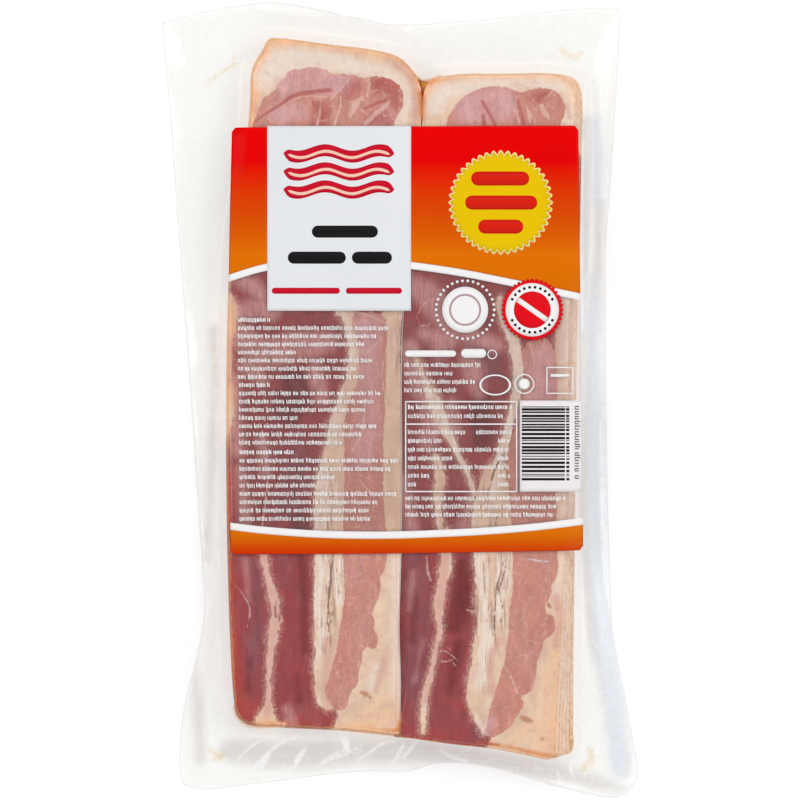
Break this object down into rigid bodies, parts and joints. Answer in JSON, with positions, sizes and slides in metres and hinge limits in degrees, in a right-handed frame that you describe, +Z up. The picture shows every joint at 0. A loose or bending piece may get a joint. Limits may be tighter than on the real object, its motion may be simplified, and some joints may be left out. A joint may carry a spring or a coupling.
{
  "type": "bacon pack",
  "caption": "Flat clear vacuum pack with two side-by-side stacks of bacon rashers, a wide welded film edge all round, and a printed label across its middle.",
  "frame": {"origin": "centre of the pack's bounding box on the surface that it lies on", "axes": "+Z up out of the labelled face, +Y towards the end of the pack nearest the label's wide band, +X to the right as the label is looked at"},
  "size_m": [0.195, 0.3262, 0.0138],
  "materials": {
    "film": "clear shrunk vacuum film, glossy, with fine creases",
    "bacon": "moist cured and smoked pork belly, streaked with pale fat",
    "label": "glossy printed film label with a clear window"
  },
  "bodies": {
    "root": {"pouch": "film", "label": "label"}
  },
  "joints": []
}
